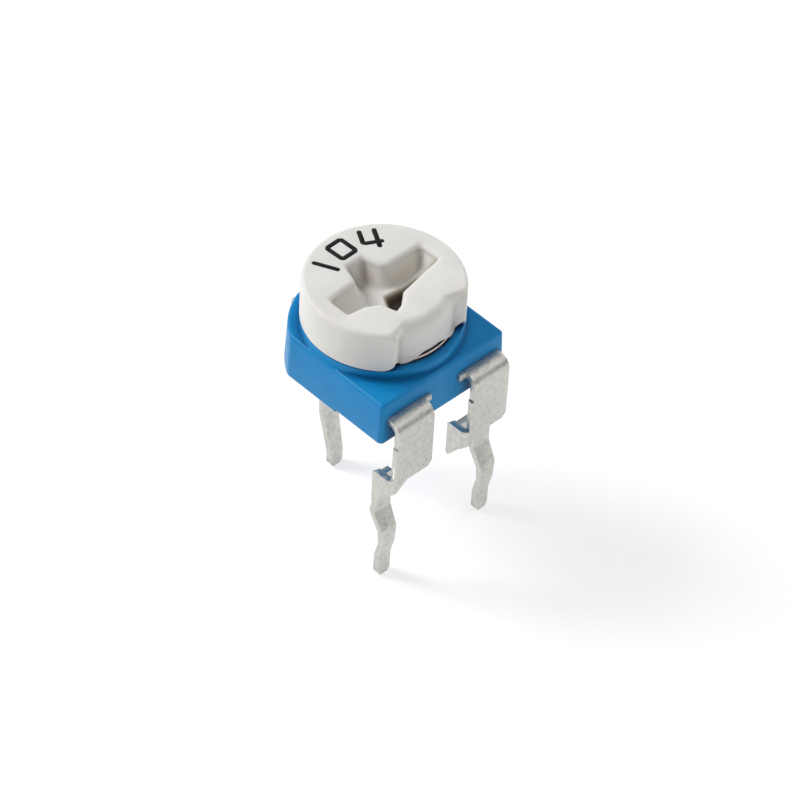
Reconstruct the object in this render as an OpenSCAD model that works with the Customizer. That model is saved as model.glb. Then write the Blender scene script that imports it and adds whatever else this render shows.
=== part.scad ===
// Trimmer potentiometer: 6 mm carbon film type, top adjustment, through-hole leads.
// +Z is up along the rotor axis. Z = 0 is the face of the circuit board that the lead
// shoulders stand on, and the rotor axis passes through the origin. The two end
// terminals are at -Y, the wiper terminal is at +Y. The rotor is drawn at mid travel.

/* [Housing] */
// Width across the side faces, at the top
housing_w = 6.0; // [5.6:0.1:8]
// Rotor axis to the front face, at the top
housing_front = 3.2; // [3.1:0.05:4]
// Rotor axis to the flat at the middle of the back, at the top
housing_back = 3.2; // [3.1:0.05:4]
// Height of the block, without the ring
housing_h = 1.96; // [1.7:0.02:3]
// How far the round back stands outside the side faces, as a difference of radii
back_bulge = 0.41; // [0.3:0.01:0.6]
// How far each side face leans out from top to bottom
draft = 0.07; // [0.02:0.01:0.15]
// Height of the raised ring under the rotor
ring_h = 0.4; // [0.3:0.05:0.8]
// Wall of the raised ring
ring_wall = 0.36; // [0.25:0.01:0.5]
// Inset of the ring from the edge of the rotor
ring_inset = 0.02; // [0.02:0.01:0.2]
// Depth of the relief under the front of the housing
relief_h = 0.1; // [0.05:0.01:0.2]
// Place of the relief's back edge, measured from the rotor axis towards the front
relief_y = 0.85; // [0.3:0.05:1.5]

/* [Rotor] */
// Diameter of the rotor
rotor_d = 6.0; // [5.6:0.1:6.2]
// Height of the rotor above the ring
rotor_h = 1.72; // [1.4:0.02:2.4]
// Rounding of the rotor's top rim
rim_r = 0.16; // [0.05:0.01:0.3]
// Depth of the notch in the rotor's side
notch_depth = 0.42; // [0.2:0.01:0.5]
// Angle that the notch spans
notch_angle = 66; // [30:1:80]
// Running gap between the rotor and the ring
lift = 0.04; // [0.02:0.01:0.1]
// Full travel of the rotor, in degrees
travel = 230; // [180:1:240]

/* [Slot] */
// Length of the long slot from side to side
slot_l = 4.4; // [3.6:0.1:4.6]
// Width of the long slot at its ends
slot_w = 0.9; // [0.7:0.05:1.1]
// Width of the long slot where it meets the middle
slot_mid_w = 1.7; // [1.2:0.05:1.9]
// Depth of the long slot at its ends
slot_end_depth = 0.6; // [0.2:0.05:0.7]
// Depth of the slots in the middle
slot_depth = 1.25; // [0.8:0.05:1.3]
// Half the length of the deep middle
slot_deep_l = 0.7; // [0.4:0.05:1]
// Width of the short back arm at its end
arm_w = 0.74; // [0.5:0.02:1]
// Width of the short back arm at its root
arm_root_w = 1.28; // [1:0.02:1.5]
// Rotor axis to the end of the back arm
arm_l = 1.35; // [1.2:0.05:1.8]
// How far the back arm stands to the left of the axis at its end
arm_x = 0.2; // [0:0.05:0.3]
// Rotor axis to the point of the front arm
point_l = 1.42; // [1:0.02:1.6]
// How far the front arm's point stands to the left of the axis
point_x = 0.76; // [0.3:0.02:0.9]
// Width of the front arm at its root
point_root_w = 1.05; // [0.7:0.05:1.3]

/* [Pivot] */
// Diameter of the rotor's pivot
pivot_d = 1.5; // [1.2:0.05:1.8]
// Diameter of the blind hole in the pivot's lower end
pivot_bore_d = 0.7; // [0.4:0.05:0.8]
// Radial running clearance of the pivot
pivot_gap = 0.04; // [0.02:0.01:0.06]
// Diameter of the staked head under the housing
head_d = 2.1; // [2:0.05:2.6]
// Thickness of the staked head
head_t = 0.2; // [0.15:0.01:0.3]

/* [Leads] */
// Distance between the two front leads
lead_pitch = 5.0; // [4.8:0.02:5.4]
// Rotor axis to the mid plane of the front leads at their shoulders
front_row = 2.85; // [2.7:0.01:3.1]
// Rotor axis to the mid plane of the back lead at its shoulder
back_row = 2.55; // [2.2:0.01:2.9]
// Board to the underside of the housing
stand_off = 2.94; // [2.4:0.02:4]
// Length of the leads below the board's face
lead_l = 3.9; // [3.7:0.1:6]
// Thickness of the lead sheet
sheet_t = 0.25; // [0.2:0.01:0.3]
// Width of a lead at its shoulder
shoulder_w = 0.8; // [0.7:0.02:0.9]
// Width of a lead at its tip
tip_w = 0.6; // [0.45:0.01:0.65]
// Sideways step of the snap-in kink
kink = 0.42; // [0.2:0.01:0.5]
// Step that is left at the tip of a front lead
tip_set = 0.25; // [0:0.01:0.4]

/* [Terminal plates] */
// Width of a terminal's plate
plate_w = 1.73; // [1.5:0.01:1.8]
// Middle of a front plate, measured from the rotor axis
plate_x = 1.865; // [1.8:0.005:2]
// Gap between a plate and the face of the housing
plate_gap = 0.34; // [0.32:0.01:0.6]
// Depth of the lead strip's top below the top of the housing
strip_depth = 0.72; // [0.6:0.02:0.9]
// Height of a plate's lower edge above the board
plate_z = 1.3; // [1.2:0.05:1.6]
// Height of the wing's top edge above the board
wing_top = 1.6; // [1.4:0.05:1.9]
// Height of the return wall's top edge above the board
wall_top = 1.05; // [0.9:0.05:1.3]
// Height of the step where the plate widens towards the wing
ear_top = 3.05; // [2.2:0.05:3.1]
// Height of the wing's lower edge at its front
wing_low = 0.9; // [0.6:0.05:1.2]
// Inner radius of the fold at the top of a plate
top_bend_r = 0.25; // [0.15:0.01:0.3]
// Inner radius of the two folds of a wing
wing_bend_r = 0.06; // [0.04:0.01:0.1]
// Length of the cut-off stub beside each front plate
stub_l = 0.3; // [0.1:0.02:0.35]

/* [Element] */
// Thickness of the element board
board_t = 0.4; // [0.3:0.02:0.5]
// Clearance of the board in the pocket
board_gap = 0.03; // [0.02:0.01:0.06]
// Thickness of the printed films
film_t = 0.03; // [0.02:0.005:0.04]
// Wall of the pocket to the middle of the track
track_inset = 0.95; // [0.9:0.01:1]
// Width of the track
track_w = 0.44; // [0.36:0.02:0.5]
// Angle that the track spans
track_angle = 250; // [240:1:256]
// Thickness of the flanges that clinch the board
flange_t = 0.08; // [0.06:0.01:0.12]

/* [Wiper] */
// Thickness of the wiper sheet
wiper_t = 0.12; // [0.08:0.01:0.15]
// Width of a contact arm
contact_w = 0.24; // [0.2:0.01:0.3]
// Length of a contact arm
contact_l = 0.95; // [0.8:0.01:1.1]
// Gap drawn between a contact and what it runs on
contact_gap = 0.02; // [0.01:0.005:0.04]

/* [Hidden] */
$fn = 96;
eps = 0.01;          // overlap that joins two solids of one piece
far = 20;            // longer than the whole part, for cutting tools

// Levels, from the circuit board up
housing_z0 = stand_off;
housing_z1 = housing_z0 + housing_h;
ring_z1 = housing_z1 + ring_h;
rotor_z0 = ring_z1 + lift;
rotor_z1 = rotor_z0 + rotor_h;
strip_z1 = housing_z1 - strip_depth;
strip_z0 = strip_z1 - sheet_t;
board_z1 = strip_z1 + board_t;
film_z1 = board_z1 + film_t;
wiper_z0 = rotor_z0 - wiper_t;
head_z0 = housing_z0 + relief_h;

// Radii
rotor_r = rotor_d / 2;
back_r = housing_w / 2 + back_bulge;
ring_r = rotor_r - ring_inset;
pocket_r = ring_r - ring_wall;
board_r = pocket_r - board_gap;
track_r = pocket_r - track_inset;
pivot_r = pivot_d / 2;
bearing_r = pivot_r + pivot_gap;

// Stop: a block on the pocket wall at the front, a lug under the rotor at the back
stop_half = 15;                              // half the angle of the block
lug_half = 180 - travel / 2 - stop_half;     // half the angle of the lug
stop_depth = 0.45;                           // of block and lug, in from the pocket wall
lug_rise = 0.22;                             // of the lug's end over the element board
lug_gap = 0.06;                              // from the lug to the pocket wall
stop_r0 = pocket_r - stop_depth;
stop_z1 = wiper_z0 - lift;
lug_z0 = board_z1 + lug_rise;
lug_r1 = pocket_r - lug_gap;

// Collar and flange of the collector, and of the end terminals
collector_gap = 0.06;                        // round the bearing
collector_wall = 0.2;
collector_flange_w = 0.15;                   // of the flange past the collar
collector_r0 = bearing_r + collector_gap;
collector_r1 = collector_r0 + collector_wall;
collector_flange_r = collector_r1 + collector_flange_w;
end_angle = 46;                              // of each end collar, from the front
end_inset = 0.7;                             // pocket wall to the end collars' axes
end_ring_r = pocket_r - end_inset;
end_r0 = 0.18;
end_r1 = 0.3;
end_flange_r = 0.42;
end_tab_r = 0.5;                             // of the strip round each end collar
pad_angle = 26;                              // that each silver pad spans
pad_margin = 0.03;                           // of a pad past its flange
board_gap_half = stop_half + 2;              // half the angle of the element board's gap
pad_r0 = track_r - track_w / 2;
pad_r1 = end_ring_r + end_flange_r + pad_margin;
collar_gap = 0.02;                           // between a collar and its hole

// Terminal folds
top_bend_out = top_bend_r + sheet_t;
wing_bend_out = wing_bend_r + sheet_t;
strip_reach = 0.5;                           // of a front strip's full width into the housing
end_strip_y = -housing_front + strip_reach;
ear_w = 0.2;
neck_w = 0.5;
corner_cut = 0.2;

// Depths below the board's face: a front lead's kink leaves, is full, returns and ends;
// the back lead's leaves and is full
front_kink = [0.7, 1.5, 2.2, 2.9];
back_kink = [1.4, 3.2];
taper = [1, 2.2];        // where the leads narrow from shoulder to tip
tip_cut = 0.2;

// Slot's front arm, in shares of its root's width from the line through its point: left
// shoulder, left root, end of the blunt point, right root
front_arm = [-2 / 3, -1 / 6, 1 / 3, 5 / 6];
point_rise = 0.12;       // of the blunt point, from left to right
arm_step = 0.1;          // by which each arm's left root stands outside the long slot

// Wiper: pegs that drive it, its outer edge, the circle its collector contact runs on
wiper_r = pocket_r - lift;
peg_r = 0.2;
peg_inset = 0.96;
peg_x = wiper_r - peg_inset;
collector_run_r = (collector_r0 + collector_flange_r) / 2;
arm_clearance = 0.06;    // round a contact arm in its window
arm_overlap = 0.12;      // that joins a contact arm to the sheet
contact_end = 0.2;       // of a window past the contact's axis
waist_depth = 0.05;      // of the wiper's narrow stretch, in from the lug
waist_angle = 3;         // of it past the lug, to each side

function polar(r, a) = [r * cos(a), r * sin(a)];

// --- 2-D helpers -------------------------------------------------------------

// Quarter of a ring in the first quadrant
module quarter_ring(r_in, t) {
    difference() {
        intersection() {
            circle(r_in + t);
            square(r_in + t);
        }
        circle(r_in);
    }
}

// Wedge from the origin, between two angles less than 360 degrees apart
module wedge(a0, a1, r) {
    steps = ceil((a1 - a0) / 30);
    polygon(concat([[0, 0]], [for (i = [0:steps]) polar(r, a0 + (a1 - a0) * i / steps)]));
}

// Ring between two radii, kept between two angles
module ring_sector(r0, r1, a0, a1) {
    intersection() {
        difference() {
            circle(r1);
            circle(r0);
        }
        wedge(a0, a1, 2 * r1);
    }
}

// Solid from a flat outline in X and Z, through the whole part in Y
module from_front() {
    rotate([90, 0, 0]) translate([0, 0, -far / 2]) linear_extrude(far) children();
}

// Solid from a flat outline in Y and Z, from x0 to x1
module from_side(x0, x1) {
    translate([x0, 0, 0]) rotate([90, 0, 90]) linear_extrude(x1 - x0) children();
}

// --- Housing -----------------------------------------------------------------

// Block with a round back, whose sides all lean out by the draft
module housing_block() {
    x = housing_w / 2;
    intersection() {
        from_front() polygon([[-x - draft, housing_z0], [x + draft, housing_z0],
                              [x, housing_z1], [-x, housing_z1]]);
        from_side(-far / 2, far / 2)
            polygon([[-housing_front - draft, housing_z0], [housing_back + draft, housing_z0],
                     [housing_back, housing_z1], [-housing_front, housing_z1]]);
        union() {
            translate([0, 0, housing_z0]) cylinder(h = housing_h, r1 = back_r + draft, r2 = back_r);
            translate([-far / 2, -far, housing_z0]) cube([far, far, housing_h]);
        }
    }
}

module housing() {
    color("dodgerblue")
    difference() {
        union() {
            housing_block();
            translate([0, 0, housing_z1 - eps]) cylinder(h = ring_h + eps, r = ring_r);
        }
        difference() {
            translate([0, 0, strip_z1]) cylinder(h = far, r = pocket_r);
            // Stop block
            translate([0, 0, strip_z0]) linear_extrude(stop_z1 - strip_z0)
                ring_sector(stop_r0, 2 * pocket_r, 270 - stop_half, 270 + stop_half);
        }
        cylinder(h = far, r = bearing_r);
        // Room for the staked head
        cylinder(h = head_z0 + head_t + lift, r = head_d / 2 + 2 * pivot_gap);
        // Relief under the front
        translate([-far / 2, -far - relief_y, 0]) cube([far, far, housing_z0 + relief_h]);
        // Slots that the moulded-in strips fill
        end_strip(-1);
        end_strip(1);
        wiper_strip();
    }
}

// --- Lead strips inside the housing --------------------------------------------

module strip_solid() {
    translate([0, 0, strip_z0]) linear_extrude(sheet_t) children();
}

// Strip of an end terminal, from its collar out to the top fold of its plate
module end_strip(side) {
    c = polar(end_ring_r, 270 + side * end_angle);
    y_out = -plate_face_y() + top_bend_out;
    strip_solid() difference() {
        union() {
            translate([side * plate_x - plate_w / 2, y_out]) square([plate_w, end_strip_y - y_out]);
            translate([c[0] - end_tab_r, y_out]) square([2 * end_tab_r, c[1] - y_out]);
            translate(c) circle(end_tab_r);
        }
        translate(c) circle(end_r0);
    }
}

// Strip of the wiper terminal, from the ring round the pivot out to its plate
module wiper_strip() {
    y_out = back_face_y() - top_bend_out;
    strip_solid() difference() {
        union() {
            circle(collector_flange_r);
            translate([-plate_w / 2, 0]) square([plate_w, y_out]);
        }
        circle(collector_r0);
    }
}

// Outer faces of the front and back plates, as distances from the rotor axis
function plate_face_y() = housing_front + draft + plate_gap + sheet_t;
function back_face_y() = housing_back + draft + plate_gap + sheet_t;

// --- Folded terminals ----------------------------------------------------------

// Centre line of a lead as [offset towards the front, height] points
function front_path() = [[0, eps], [0, -front_kink[0]], [kink, -front_kink[1]], [kink, -front_kink[2]],
                         [tip_set, -front_kink[3]], [tip_set, -lead_l]];
function back_path() = [[0, eps], [0, -back_kink[0]], [kink, -back_kink[1]], [kink, -lead_l]];

// Lead that hangs from a return wall: its kink from the side, its taper from the front
module lead(x, y, path) {
    t = sheet_t / 2;
    s = shoulder_w / 2;
    e = tip_w / 2;
    intersection() {
        from_side(-far / 2, far / 2)
            polygon(concat([for (p = path) [y - p[0] - t, p[1]]],
                           [for (i = [len(path) - 1:-1:0]) [y - path[i][0] + t, path[i][1]]]));
        from_front() polygon([[x - s, eps], [x - s, -taper[0]], [x - e, -taper[1]],
                              [x - e, -lead_l + tip_cut], [x - e / 2, -lead_l],
                              [x + e / 2, -lead_l], [x + e, -lead_l + tip_cut],
                              [x + e, -taper[1]], [x + s, -taper[0]], [x + s, eps]]);
    }
}

// Plate, wing and return wall, with the plate at -face_y and the wall's mid plane at wall_y
module folded_plate(x_mid, lead_x, face_y, wall_y) {
    x0 = x_mid - plate_w / 2;
    x1 = x_mid + plate_w / 2;
    xw = x0 - wing_bend_out;
    back = wall_y + sheet_t / 2;
    // Top fold and plate, with a cut corner and a neck that runs down to the wing
    intersection() {
        from_side(x0, x1) {
            translate([-face_y + top_bend_out, strip_z1 - top_bend_out]) rotate(90)
                quarter_ring(top_bend_r, sheet_t);
            translate([-face_y, 0]) square([sheet_t, strip_z1 - top_bend_out]);
        }
        from_front() polygon([[x0, wing_low], [x0 + neck_w, plate_z], [x1 - corner_cut, plate_z],
                              [x1, plate_z + corner_cut], [x1, far], [x0, far]]);
    }
    // Ear beside the plate, above the wing
    translate([0, 0, wing_top - eps]) linear_extrude(ear_top - wing_top + eps) intersection() {
        translate([x0, -face_y + wing_bend_out]) rotate(180) quarter_ring(wing_bend_r, sheet_t);
        translate([x0 - ear_w, -far]) square([ear_w + eps, 2 * far]);
    }
    // Fold beside the plate, and the wing
    intersection() {
        linear_extrude(wing_top) {
            translate([x0, -face_y + wing_bend_out]) rotate(180) quarter_ring(wing_bend_r, sheet_t);
            translate([xw, -face_y + wing_bend_out])
                square([sheet_t, back + face_y - 2 * wing_bend_out]);
        }
        from_side(-far / 2, far / 2) polygon([[-face_y, wing_low], [back - wing_bend_out, 0],
                                              [far, 0], [far, far], [-face_y, far]]);
    }
    // Fold behind the wing, and the lower return wall that carries the lead
    intersection() {
        linear_extrude(wing_top) {
            translate([x0, back - wing_bend_out]) rotate(90) quarter_ring(wing_bend_r, sheet_t);
            translate([x0, back - sheet_t]) square([lead_x + shoulder_w / 2 - x0, sheet_t]);
        }
        from_front() polygon([[xw, 0], [far, 0], [far, wall_top], [x0, wall_top], [xw, wing_top]]);
    }
}

// Extruded collar that passes through the board and is turned over its top
module collar(r0, r1, flange_r, flange_z0) {
    translate([0, 0, strip_z1 - eps]) linear_extrude(flange_z0 - strip_z1 + 2 * eps) difference() {
        circle(r1);
        circle(r0);
    }
    translate([0, 0, flange_z0]) linear_extrude(flange_t) difference() {
        circle(flange_r);
        circle(r0);
    }
}

module end_terminal(side) {
    lead_x = side * lead_pitch / 2;
    end_strip(side);
    translate(polar(end_ring_r, 270 + side * end_angle)) collar(end_r0, end_r1, end_flange_r, film_z1);
    folded_plate(side * plate_x, lead_x, plate_face_y(), -front_row);
    // Stub of the tie bar that joined the two terminals
    x_in = plate_x - plate_w / 2;
    translate([side > 0 ? x_in - stub_l : -x_in - eps, -plate_face_y() + top_bend_out, strip_z0])
        cube([stub_l + eps, sheet_t, sheet_t]);
    lead(lead_x, -front_row, front_path());
}

module end_terminal_left() {
    color("silver") end_terminal(-1);
}

module end_terminal_right() {
    color("silver") end_terminal(1);
}

module wiper_terminal() {
    color("silver") {
        wiper_strip();
        collar(collector_r0, collector_r1, collector_flange_r, board_z1);
        rotate(180) folded_plate(0, 0, back_face_y(), -back_row);
        lead(0, back_row, back_path());
    }
}

// --- Element -------------------------------------------------------------------

// Films lie on the board and leave room for the collars
module film(r0, r1, a0, a1) {
    translate([0, 0, board_z1]) linear_extrude(film_t) difference() {
        ring_sector(r0, r1, a0, a1);
        for (side = [-1, 1])
            translate(polar(end_ring_r, 270 + side * end_angle)) circle(end_r1 + collar_gap);
    }
}

module element_board() {
    color("peru")
    translate([0, 0, strip_z1]) linear_extrude(board_t) difference() {
        circle(board_r);
        circle(collector_r1 + collar_gap);
        for (side = [-1, 1])
            translate(polar(end_ring_r, 270 + side * end_angle)) circle(end_r1 + collar_gap);
        wedge(270 - board_gap_half, 270 + board_gap_half, 2 * board_r);
    }
}

module carbon_track() {
    color("dimgray") film(track_r - track_w / 2, track_r + track_w / 2,
                          90 - track_angle / 2, 90 + track_angle / 2);
}

module end_pad(side) {
    a = 90 - side * track_angle / 2;
    color("gainsboro") film(pad_r0, pad_r1, side > 0 ? a - pad_angle : a, side > 0 ? a : a + pad_angle);
}

module end_pad_left() {
    end_pad(-1);
}

module end_pad_right() {
    end_pad(1);
}

// --- Wiper ---------------------------------------------------------------------

// Spring arm: leaves the sheet at x = side * contact_l and comes down to the contact at x = 0
module contact_arm(y, z_run, side) {
    drop = wiper_z0 + wiper_t / 2 - (z_run + contact_gap + contact_w / 2);
    a = atan2(drop, contact_l);
    length = norm([drop, contact_l]);
    translate([0, y - contact_w / 2, z_run + contact_gap + contact_w / 2]) {
        rotate([-90, 0, 0]) cylinder(h = contact_w, d = contact_w);
        rotate([0, side > 0 ? -a : a, 0])
            translate([side > 0 ? 0 : -length, 0, -wiper_t / 2]) cube([length, contact_w, wiper_t]);
    }
}

module wiper() {
    window_w = contact_w + 2 * arm_clearance;
    color("goldenrod") {
        translate([0, 0, wiper_z0]) linear_extrude(wiper_t) difference() {
            circle(wiper_r);
            circle(pivot_r);
            // Narrower where the rotor's lug hangs
            ring_sector(stop_r0 - waist_depth, 2 * wiper_r,
                        90 - lug_half - waist_angle, 90 + lug_half + waist_angle);
            for (side = [-1, 1]) translate([side * peg_x, 0]) circle(peg_r);
            translate([-contact_l + arm_overlap, track_r - window_w / 2])
                square([contact_l - arm_overlap + contact_end, window_w]);
            translate([-contact_end, collector_run_r - window_w / 2])
                square([contact_l - arm_overlap + contact_end, window_w]);
        }
        contact_arm(track_r, film_z1, -1);
        contact_arm(collector_run_r, board_z1 + flange_t, 1);
    }
}

// --- Rotor ---------------------------------------------------------------------

// Outline of the slots from above
module slot_plan() {
    e = slot_l / 2;
    w = slot_w / 2;
    m = slot_mid_w / 2;
    front_x = [for (share = front_arm) share * point_root_w - point_x];
    // From the left end round the front arm to the right end, then back round the back arm
    polygon([[-e, -w], [front_x[0], -w - arm_step], [front_x[1], -m], [-point_x, -point_l],
             [front_x[2], -point_l + point_rise], [front_x[3], -m], [e, -w], [e, w],
             [-arm_x + arm_root_w / 2, w], [-arm_x + arm_w / 2, arm_l],
             [-arm_x - arm_w / 2, arm_l], [-arm_x - arm_root_w / 2, w + arm_step], [-e, w]]);
}

// Floors of the slots: deep in the middle, rising towards the ends
module slot_tool() {
    top = rotor_z1;
    intersection() {
        translate([0, 0, rotor_z1 - 2 * slot_depth]) linear_extrude(far) slot_plan();
        from_front() polygon([[-slot_l / 2, far], [-slot_l / 2, top - slot_end_depth],
                              [-slot_deep_l, top - slot_depth], [slot_deep_l, top - slot_depth],
                              [slot_l / 2, top - slot_end_depth], [slot_l / 2, far]]);
    }
}

module rotor() {
    color("whitesmoke")
    difference() {
        union() {
            difference() {
                translate([0, 0, rotor_z0]) rotate_extrude() {
                    square([rotor_r, rotor_h - rim_r]);
                    square([rotor_r - rim_r, rotor_h]);
                    translate([rotor_r - rim_r, rotor_h - rim_r]) intersection() {
                        circle(rim_r);
                        square(rim_r);
                    }
                }
                linear_extrude(far) ring_sector(rotor_r - notch_depth, 2 * rotor_r,
                                                270 - notch_angle / 2, 270 + notch_angle / 2);
            }
            // Pivot and its staked head
            translate([0, 0, head_z0]) cylinder(h = rotor_z0 - head_z0 + eps, r = pivot_r);
            translate([0, 0, head_z0]) cylinder(h = head_t, d = head_d);
            // Pegs that drive the wiper
            for (side = [-1, 1])
                translate([side * peg_x, 0, wiper_z0]) cylinder(h = wiper_t + eps, r = peg_r);
            // Stop lug
            translate([0, 0, lug_z0]) linear_extrude(rotor_z0 - lug_z0 + eps)
                ring_sector(stop_r0, lug_r1, 90 - lug_half, 90 + lug_half);
        }
        slot_tool();
        cylinder(h = rotor_z0, d = pivot_bore_d);
    }
}

housing();
rotor();
wiper();
element_board();
carbon_track();
end_pad_left();
end_pad_right();
end_terminal_left();
end_terminal_right();
wiper_terminal();
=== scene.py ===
"""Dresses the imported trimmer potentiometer: smooth shapes, materials, light and camera.

Lengths are in millimetres in the row frame, and MM turns them into Blender's metres.
"""
import math

import bmesh
import bpy
import numpy as np
from mathutils import Matrix, Vector


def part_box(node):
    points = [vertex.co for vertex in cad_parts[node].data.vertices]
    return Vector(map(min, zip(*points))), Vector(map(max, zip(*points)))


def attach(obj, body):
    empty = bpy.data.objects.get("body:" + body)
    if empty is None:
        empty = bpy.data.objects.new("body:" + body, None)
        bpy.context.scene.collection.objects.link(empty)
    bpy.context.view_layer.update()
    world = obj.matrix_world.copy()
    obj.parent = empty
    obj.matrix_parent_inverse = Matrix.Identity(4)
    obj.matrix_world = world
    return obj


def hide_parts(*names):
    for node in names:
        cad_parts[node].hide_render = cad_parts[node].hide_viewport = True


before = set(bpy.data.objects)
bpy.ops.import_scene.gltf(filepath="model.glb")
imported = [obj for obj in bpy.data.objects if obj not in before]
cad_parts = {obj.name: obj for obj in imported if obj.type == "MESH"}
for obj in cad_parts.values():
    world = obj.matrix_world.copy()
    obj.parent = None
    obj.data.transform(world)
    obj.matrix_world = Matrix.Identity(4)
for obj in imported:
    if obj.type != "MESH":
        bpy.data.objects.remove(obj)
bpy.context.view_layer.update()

MM = 0.001


def box_mm(node):
    """Lowest and highest corner of a CAD node, in millimetres."""
    low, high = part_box(node)
    return np.array(low) / MM, np.array(high) / MM


# --- Places that the frame gives ---------------------------------------------------
HOUSING_LOW, HOUSING_HIGH = box_mm("housing")
ROTOR_LOW, ROTOR_HIGH = box_mm("rotor")
BOARD_LOW = box_mm("element_board")[0]
TERMINAL_LOW = box_mm("end_terminal_right")[0]

HOUSING_Z0 = HOUSING_LOW[2]
RING_Z1 = HOUSING_HIGH[2]
HEAD_Z0 = ROTOR_LOW[2]      # of the staked head, the rotor's lowest part
ROTOR_Z0 = box_mm("wiper")[1][2]  # of its underside round the pivot, level with the wiper's top
ROTOR_Z1 = ROTOR_HIGH[2]
ROTOR_R = ROTOR_HIGH[0]
FLOOR_Z = TERMINAL_LOW[2]
FRONT, BACK = 270, 90       # directions from the axis, in degrees

# --- Housing -----------------------------------------------------------------------
DRAFT = 0.07                # by which the sides lean in, from the lower edge to the upper
RING_H = 0.4
HOUSING_Z1 = RING_Z1 - RING_H
HALF_WIDTH = HOUSING_HIGH[0] - DRAFT
HALF_LENGTH = HOUSING_HIGH[1] - DRAFT
BACK_R = HALF_WIDTH + 0.41
FRONT_CORNER_R = 0.14
BACK_BLEND = 0.06           # width of the change between the flat and the round sides
EDGE_R = 0.14               # of the housing's upper and lower edges
RING_R = ROTOR_R - 0.02
RING_FOOT_R = 0.03          # of the hollow round the ring's foot
RING_EDGE_R = 0.07
POCKET_R = RING_R - 0.36
POCKET_Z = BOARD_LOW[2]
BEARING_R = 0.79
HEAD_ROOM_R = 1.13
HEAD_ROOM_Z = 3.28          # upper end of the recess for the rotor's head
HEAD_ROOM_CUT = 0.04        # chamfer of its mouth
RELIEF_H = 0.1              # of the raised underside in front
RELIEF_Y = -0.85            # where the relief ends
STOP_HALF_ANGLE = 15
STOP_R = POCKET_R - 0.45
STOP_Z1 = ROTOR_Z0 - 0.16

# --- Rotor -------------------------------------------------------------------------
NOTCH_DEPTH = 0.42
NOTCH_HALF_ANGLE = 33
NOTCH_WALL_ANGLE = 5.5      # over which the notch's end walls are rounded
NOTCH_FADE_ANGLE = 14       # added to it at the top, where the end walls fade out
NOTCH_FOOT = 0.1            # by which the notch's foot spreads over the pocket's edge
NOTCH_LIFT = 0.21           # of the lower edge in the notch's middle, which bares the wiper's rim
BARE_HALF_ANGLE = 16        # that the bared rim spans to each side, to the middle of its slopes
BARE_SLOPE_ANGLE = 1.2 * BARE_HALF_ANGLE
LOBE_CORNER = (0.52, 0.36)  # length and height of the rounded lower corners beside the notch
RIM_SINK = 0.025            # by which the rotor's lower rim hangs into its running gap
FOOT_R = 0.04               # of the skirt's lower edge
RIM_R = 0.2
NOTCH_RIM = (0.45, 0.65)    # width and height of the softer rim above the notch
PIVOT_R = 0.75
PIVOT_BORE_R = 0.35
PIVOT_BORE_CUT = 0.05       # chamfer of its mouth
HEAD_R = 1.05
HEAD_T = 0.2
HEAD_EDGE_R = 0.1
HEAD_CUT = 0.03             # chamfer of the head's upper edge
CEILING_R = POCKET_R - 0.3  # of the flat underside round the pivot
SLOT_HALF_LENGTH = 2.2
SLOT_HALF_WIDTH = 0.45
SLOT_MID_HALF_WIDTH = 0.85
SLOT_FLARE = 0.1            # by which the left arm widens towards the middle
SLOT_BACK = 1.35            # end of the short arm behind
SLOT_END_DEPTH = 0.6
SLOT_DEPTH = 1.25           # along the front walls
SHELF_DEPTH = 0.9           # in the middle, behind that
SHELF_HALF_LENGTH = 0.7     # past which the floor rises towards the ends
SHELF_SLOPE = 0.42          # width of the slope between the shelf and the deep part
SHELF_CORNER = 0.12         # rounding of the shelf's corner
SLOT_LIP_R = 0.22
WALL_LEAN = 0.4             # of the slots' walls, from the lip to the floor
FRONT_WALL_LEAN = 0.07
FRONT_WALL_AT = 295         # direction of the middle of the front walls
FRONT_WALL_HALF_ANGLE = 44
FRONT_WALL_CHANGE_ANGLE = 10
WALL_BEND = 1.6             # power of the curve of the walls into the floor
LUG_HALF_ANGLE = 50
LUG_R = POCKET_R - 0.06
LUG_Z0 = BOARD_LOW[2] + 0.62
WIPER_RIM_R = POCKET_R - 0.03
WIPER_RIM_WIRE_R = 0.035
WIPER_RIM_HALF_ANGLE = 1.3 * BARE_HALF_ANGLE

# --- Terminals ---------------------------------------------------------------------
SHEET_T = 0.25
PLATE_FACE = -TERMINAL_LOW[1]  # from the axis to the plates' outer face
PLATE_W = 1.73
PLATE_X = 1.865             # of the middle of an end plate
PLATE_Z = 1.3               # of the plate's lower edge
WING_TOP = 1.6              # upper edge of the wing, which is folded back from the plate
WALL_TOP = 1.05             # upper edge of the wall that carries the lead
EAR_TOP = 3.05              # upper end of the fold's narrow part, beside the plate
EAR_W = 0.22
WING_LOW = 0.9              # lower edge of the wing at the plate
TOP_FOLD_INNER_R = 0.25
TOP_FOLD_R = TOP_FOLD_INNER_R + SHEET_T / 2
WING_FOLD_R = 0.06 + SHEET_T / 2
STRIP_Z = POCKET_Z - SHEET_T / 2
NECK_W = 0.5                # width of the slope from the wing's lower edge up to the plate's
CORNER_CUT = 0.2
STUB_L = 0.3                # of the cut-off tie bar between the terminals
STRIP_REACH = 0.3           # of the top strip, in over the housing
EDGE_CUT = 0.035            # of the sheared edges
LEAD_X = 2.5
FRONT_ROW = 2.85            # from the axis to the front leads' walls
BACK_ROW = 2.55
SHOULDER_HALF = 0.4
TIP_HALF = 0.3
TIP_L = 0.2                 # of the pointed end
TIP_NARROWING = 0.55
ROOT_Z = -0.45              # below which a lead has its full width, also beside a fold
BEND_R = 0.25
KINK = 0.42                 # step of a lead's kink
# Each lead's path, as steps to the front and heights
FRONT_PATH = [(0, 0), (0, -0.7), (KINK, -1.5), (KINK, -2.2), (0.25, -2.9), (0.25, FLOOR_Z)]
BACK_PATH = [(0, 0), (0, -1.4), (KINK, -3.2), (KINK, FLOOR_Z)]

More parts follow.
